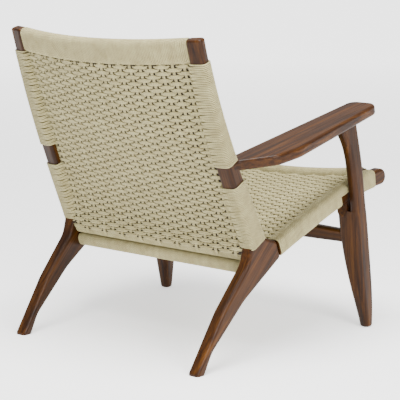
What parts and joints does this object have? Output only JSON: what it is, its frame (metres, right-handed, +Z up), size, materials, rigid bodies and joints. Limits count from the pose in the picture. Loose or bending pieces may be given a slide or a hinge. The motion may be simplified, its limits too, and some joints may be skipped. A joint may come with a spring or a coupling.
{
  "type": "easy chair",
  "caption": "Low easy chair with a dark-stained solid wood frame, open flat arms, and a seat and back woven from natural paper cord.",
  "frame": {"origin": "floor level, at the middle of the bounding box", "axes": "+Z up, the sitter faces -Y, +X is the sitter's left"},
  "size_m": [0.7246, 0.7172, 0.7298],
  "materials": {
    "wood": "satin",
    "cord": "matte"
  },
  "bodies": {
    "root": {"arm_left": "wood", "arm_right": "wood", "back_bottom_rail": "wood", "back_bottom_wrap": "cord", "back_top_rail": "wood", "back_upright_left": "wood", "back_upright_right": "wood", "back_weave": "cord", "front_leg_left": "wood", "front_leg_right": "wood", "front_stretcher": "wood", "rear_leg_left": "wood", "rear_leg_right": "wood", "seat_block_left": "wood", "seat_block_right": "wood", "seat_front_rail": "wood", "seat_front_wrap": "cord", "seat_rear_rail": "wood", "seat_rear_wrap": "cord", "seat_side_rail_left": "wood", "seat_side_rail_right": "wood", "seat_weave": "cord", "side_rail_wrap_front_left": "cord", "side_rail_wrap_front_right": "cord", "side_rail_wrap_rear_left": "cord", "side_rail_wrap_rear_right": "cord", "top_rail_wrap": "cord", "upright_wrap_lower_left": "cord", "upright_wrap_lower_right": "cord", "upright_wrap_upper_left": "cord", "upright_wrap_upper_right": "cord"}
  },
  "joints": []
}
